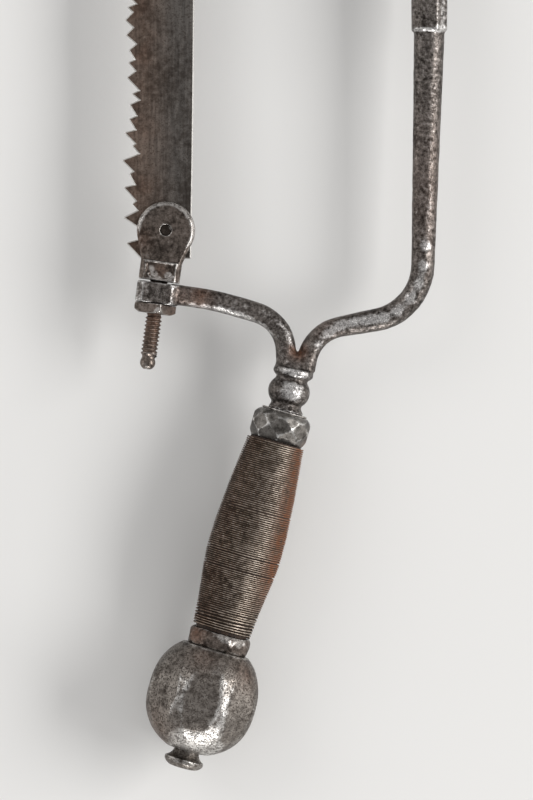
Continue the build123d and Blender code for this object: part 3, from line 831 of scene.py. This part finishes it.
base = ramp(old_iron, broad, 0.35, 0.65, 0.4, 0.3)
roughness = weigh(old_iron, (base, 1.0), (rubbed_and_lit, -0.1), (pits, 0.25), (rusty, 0.35))
metal = reckon(old_iron, "SUBTRACT", 1.0, reckon(old_iron, "MULTIPLY", rusty, 0.75))
dents = cloud(old_iron, given["Place"], 260.0, 1.0, 0.5)
grains = cloud(old_iron, given["Place"], 1000.0, 1.0, 0.5)
relief = weigh(old_iron, (dents, 0.7), (grains, 0.28), (pits, -0.08))
wire_up(
    old_iron,
    "NodeGroupOutput",
    {"Colour": colour, "Roughness": roughness, "Metal": metal, "Height": relief},
)
print("old_iron group has", len(old_iron.nodes), "nodes")

# %% [markdown]
# A second group draws the grain of a rolled and filed strip: long streaks that run one way. The
# blade uses it along its length, and the wooden core along the handle.

# %% Build the streak group
streaks = bpy.data.node_groups.new("streaks", "ShaderNodeTree")
streaks.interface.new_socket("Place", in_out="INPUT", socket_type="NodeSocketVector")
streaks.interface.new_socket("Mask", in_out="OUTPUT", socket_type="NodeSocketFloat")
given = streaks.nodes.new("NodeGroupInput").outputs
squeeze = {"Vector": given["Place"], "Scale": (1.0, 0.06, 1.0)}
squeezed = wire_up(streaks, "ShaderNodeMapping", squeeze).outputs[0]
mask = ramp(streaks, cloud(streaks, squeezed, 900.0, 5.0, 0.7), 0.3, 0.7)
wire_up(streaks, "NodeGroupOutput", {"Mask": mask})
print("streaks group has", len(streaks.nodes), "nodes")

# %% [markdown]
# Each steel gets its own material from the groups. The ridge marks in the mesh tell what stands out
# and where highlights are painted, so that ridges rub bright, painted highlights shine and hollows
# stay dark. The wire's marks also darken its flanks with painted shade where the turns meet, which
# draws each turn. The blade has too few points for marks, so its browner tooth side is told from its
# greyer back by the place alone. The values differ from piece to piece: the ferrule is smooth and
# even, the pommel is freckled, and the bow and the forks have the finest grain.


# %% Steel materials
def new_material(name):
    """An empty node material, its node tree and the places on the object."""
    material = bpy.data.materials.new(name)
    material.use_nodes = True
    tree = material.node_tree
    tree.nodes.clear()
    return material, tree, wire_up(tree, "ShaderNodeTexCoord").outputs["Object"]


def bumped(tree, height, strength, distance):
    inputs = {"Height": height, "Strength": strength, "Distance": distance * MM}
    return wire_up(tree, "ShaderNodeBump", inputs).outputs[0]


def mark(tree, name):
    """The number that the mesh carries for each point under this name."""
    return wire_up(tree, "ShaderNodeAttribute", attribute_name=name).outputs["Fac"]


def drawn_out(tree, place, group, grain):
    """Streaks along the blade, brown and faintly rusty by the teeth and grey by the back."""
    streak = wire_up(tree, "ShaderNodeGroup", {}, node_tree=streaks)
    tree.links.new(place, streak.inputs["Place"])
    tint = mix_colours(tree, streak.outputs["Mask"], (0.62, 0.6, 0.58, 1), (1.25, 1.22, 1.18, 1))
    colour = mix_colours(tree, grain, group.outputs["Colour"], tint, "MULTIPLY")
    x = wire_up(tree, "ShaderNodeSeparateXYZ", {0: place}).outputs[0]
    backward = ramp(tree, x, -27 * MM, -9 * MM)
    shift = mix_colours(tree, backward, (1.22, 1.06, 0.97, 1), (0.9, 0.93, 0.95, 1))
    patches = ramp(tree, cloud(tree, place, 90.0, 5.0, 0.65), 0.42, 0.62)
    patches = reckon(tree, "MULTIPLY", patches, reckon(tree, "SUBTRACT", 1.0, backward))
    tree.links.new(reckon(tree, "MULTIPLY", patches, 0.09), group.inputs["Stain"])
    return mix_colours(tree, 1.0, colour, shift, "MULTIPLY")


def steel(
    name,
    skin,
    middle,
    rubbed_and_lit,
    thin=0.5,
    wear=0.5,
    pits=0.5,
    blotches=usual_blotches,
    finer=1.0,
    ridge=(0.03, 0.16),
    shaded_valley_thin=None,
    bump=0.4,
    rough=0.0,
    grain=0.0,
):
    """A Principled material round the old iron group, with ridges rubbed bright and painted highlights."""
    material, tree, place = new_material(name)
    raised_and_lit = mark(tree, "ridge")
    group = wire_up(tree, "ShaderNodeGroup", {}, node_tree=old_iron)
    for key, value in (
        ("Skin", (*skin, 1)),
        ("Steel", (*middle, 1)),
        ("Rubbed_and_lit", (*rubbed_and_lit, 1)),
        ("Thin", thin),
        ("Wear", wear),
        ("Pits", pits),
        ("Blotches", blotches),
    ):
        group.inputs[key].default_value = value
    scaling = {0: place, "Scale": finer}
    finer_place = wire_up(tree, "ShaderNodeVectorMath", scaling, operation="SCALE").outputs[0]
    tree.links.new(finer_place, group.inputs["Place"])
    tree.links.new(mark(tree, "rust_and_shade"), group.inputs["Stain"])
    tree.links.new(ramp(tree, raised_and_lit, *ridge), group.inputs["Edge"])
    # Painted shade: low marks, where wire turns meet, get more dark skin.
    if shaded_valley_thin is not None:
        valley_shade_skin = ramp(tree, raised_and_lit, 0.35, 0.95, shaded_valley_thin, thin)
        tree.links.new(valley_shade_skin, group.inputs["Thin"])
    colour = drawn_out(tree, place, group, grain) if grain else group.outputs["Colour"]
    surface = {
        "Base Color": colour,
        "Roughness": reckon(tree, "ADD", group.outputs["Roughness"], rough),
        "Metallic": group.outputs["Metal"],
        "Normal": bumped(tree, group.outputs["Height"], bump, 0.4),
    }
    shader = wire_up(tree, "ShaderNodeBsdfPrincipled", surface)
    wire_up(tree, "ShaderNodeOutputMaterial", {"Surface": shader.outputs[0]})
    return material


brown_skin = (0.03, 0.024, 0.02)
forged_iron = steel(
    "forged_iron",
    (0.016, 0.013, 0.011),
    (0.245, 0.216, 0.196),
    (0.7, 0.68, 0.66),
    wear=0.53,
    pits=0.65,
    blotches=0.2,
    finer=1.5,
    ridge=(0.15, 0.6),
    bump=1.1,
)
fork_iron = steel(
    "fork_iron",
    brown_skin,
    (0.21, 0.172, 0.148),
    (0.6, 0.57, 0.54),
    thin=0.51,
    wear=0.43,
    blotches=0.3,
    finer=1.3,
    ridge=(0.05, 0.3),
    bump=0.5,
)
thread_iron = steel(
    "thread_iron",
    brown_skin,
    (0.16, 0.13, 0.108),
    (0.42, 0.385, 0.35),
    wear=0.38,
    ridge=(0.05, 0.3),
    rough=0.05,
)
pin_iron = steel(
    "pin_iron",
    brown_skin,
    (0.09, 0.075, 0.063),
    (0.4, 0.375, 0.35),
    thin=0.45,
    wear=0.3,
    ridge=(0.1, 0.8),
)
ferrule_iron = steel(
    "ferrule_iron",
    (0.05, 0.045, 0.04),
    (0.215, 0.2, 0.183),
    (0.6, 0.59, 0.57),
    wear=0.38,
    pits=0.3,
    ridge=(-0.01, 0.2),
)
pommel_iron = steel(
    "pommel_iron",
    (0.04, 0.032, 0.027),
    (0.265, 0.238, 0.212),
    (0.7, 0.68, 0.65),
    thin=0.53,
    wear=0.44,
    pits=0.8,
    blotches=0.3,
    ridge=(0.02, 0.3),
    bump=0.8,
)
wire_iron = steel(
    "wire_iron",
    (0.03, 0.024, 0.018),
    (0.285, 0.236, 0.188),
    (0.56, 0.5, 0.43),
    thin=0.57,
    wear=0.4,
    pits=0.2,
    blotches=0.28,
    ridge=(0.5, 1.1),
    # Darker skin where the turns meet is painted shade.
    shaded_valley_thin=0.12,
    bump=0.2,
    rough=0.1,
)
blade_iron = steel(
    "blade_iron",
    (0.075, 0.063, 0.055),
    (0.2, 0.18, 0.165),
    (0.36, 0.35, 0.34),
    wear=0.36,
    pits=0.6,
    bump=0.25,
    grain=0.8,
)
# Partly bare filed steel, partly a painted highlight along the blade's edges.
filed_steel_and_highlight = steel(
    "filed_steel_and_highlight",
    (0.3, 0.29, 0.27),
    (0.58, 0.56, 0.53),
    (0.85, 0.83, 0.8),
    thin=0.6,
    wear=0.6,
    pits=0.2,
    bump=0.1,
)

for material, pieces in (
    (forged_iron, [bow]),
    (ferrule_iron, [ferrule]),
    (fork_iron, [bead, plate, fork_head, screw_ball, nut, far_fork]),
    (pommel_iron, [pommel, button]),
    (thread_iron, [thread]),
    (wire_iron, [wire]),
    (pin_iron, pins),
):
    for piece in pieces:
        piece.data.materials.clear()
        piece.data.materials.append(material)
    print(material.name, "on", ", ".join(piece.name for piece in pieces))
blade.data.materials[FACES] = blade_iron
blade.data.materials[CHAMFER] = filed_steel_and_highlight

# %% [markdown]
# The wooden core only shows as darkness between the turns of the wire, but it is still wood, with
# its grain along the handle.

# %% Wood of the core
handle_tilt = 0.281
wood, tree, place = new_material("core_wood")
grain = wire_up(tree, "ShaderNodeGroup", {}, node_tree=streaks)
turn_back = {"Vector": place, "Rotation": (0, 0, handle_tilt)}
tree.links.new(wire_up(tree, "ShaderNodeMapping", turn_back).outputs[0], grain.inputs["Place"])
dark_and_light = (0.02, 0.01, 0.006, 1), (0.06, 0.032, 0.018, 1)
surface = {
    "Base Color": mix_colours(tree, grain.outputs["Mask"], *dark_and_light),
    "Roughness": 0.75,
    "Normal": bumped(tree, grain.outputs["Mask"], 0.3, 0.3),
}
shader = wire_up(tree, "ShaderNodeBsdfPrincipled", surface)
wire_up(tree, "ShaderNodeOutputMaterial", {"Surface": shader.outputs[0]})
core = frame["nodes"]["grip_core"]
for slot in core.material_slots:
    slot.material = wood
print("core slots:", len(core.material_slots))

# %% [markdown]
# ## Studio
#
# The saw lies on a plain pale table, and the camera looks straight down on it through a long lens.
# Steel shows what stands round it, so where the lamps stand matters more than how many they are. A
# long lamp on the right and a lower one in front draw the bright streaks, a broad weak one opens the
# shadows, and two cards near the horizon light the flanks. All are far off and the first two look
# over the saw instead of at it, so that the table is lit evenly and doesn't burn out. The picture
# takes in 336 mm from top to bottom, as the photo does.

# %% Floor, world, lamps and camera
bpy.ops.object.select_all(action="DESELECT")
bpy.ops.mesh.primitive_plane_add(size=8, location=(0, 0, -0.3 * MM))
floor = bpy.context.active_object
floor.name = "table"
table = bpy.data.materials.new("pale_table")
table.use_nodes = True
principled = table.node_tree.nodes["Principled BSDF"]
principled.inputs["Base Color"].default_value = (0.78, 0.77, 0.75, 1)
principled.inputs["Roughness"].default_value = 1.0
principled.inputs["Specular IOR Level"].default_value = 0.1
floor.data.materials.append(table)

world = bpy.data.worlds.new("studio")
bpy.context.scene.world = world
world.use_nodes = True
world.node_tree.nodes["Background"].inputs["Color"].default_value = (0.5, 0.5, 0.505, 1)


def lamp(name, place, aim, width, length, power):
    """A soft oblong lamp that looks at a point, its length lying level."""
    light = bpy.data.lights.new(name, "AREA")
    light.shape = "RECTANGLE"
    light.size, light.size_y = length, width
    light.energy = power
    holder = bpy.data.objects.new(name, light)
    bpy.context.scene.collection.objects.link(holder)
    holder.location = place
    holder.rotation_euler = (Vector(place) - Vector(aim)).to_track_quat("Z", "Y").to_euler()
    print(name, "of", power, "W")


lamp("right_strip", (2.5, 0.1, 1.75), (0.0, 0.1, 2.4), 1.5, 2.2, 95)
lamp("front_strip", (0.3, -2.7, 0.5), (0.3, -1.2, 2.9), 0.6, 1.9, 125)
lamp("fill", (-2.4, 2.2, 2.6), (0.0, 0.2, 1.8), 2.2, 2.2, 24)
lamp("right_card", (2.6, 0.2, 0.5), (0.0, 0.2, 0.3), 0.7, 2.4, 9)
lamp("left_card", (-2.6, 0.2, 0.4), (0.0, 0.2, 0.3), 0.5, 2.4, 7)

view_centre = from_pin(42.21, -71.19)
view_height = 336 * MM
distance = 2.0
camera = bpy.data.objects.new("camera", bpy.data.cameras.new("camera"))
bpy.context.scene.collection.objects.link(camera)
camera.location = view_centre + Vector((0, 0, distance))
camera.data.lens = camera.data.sensor_width * distance / view_height
camera.data.clip_end = 20
bpy.context.scene.camera = camera
bpy.context.scene.view_settings.view_transform = "Standard"
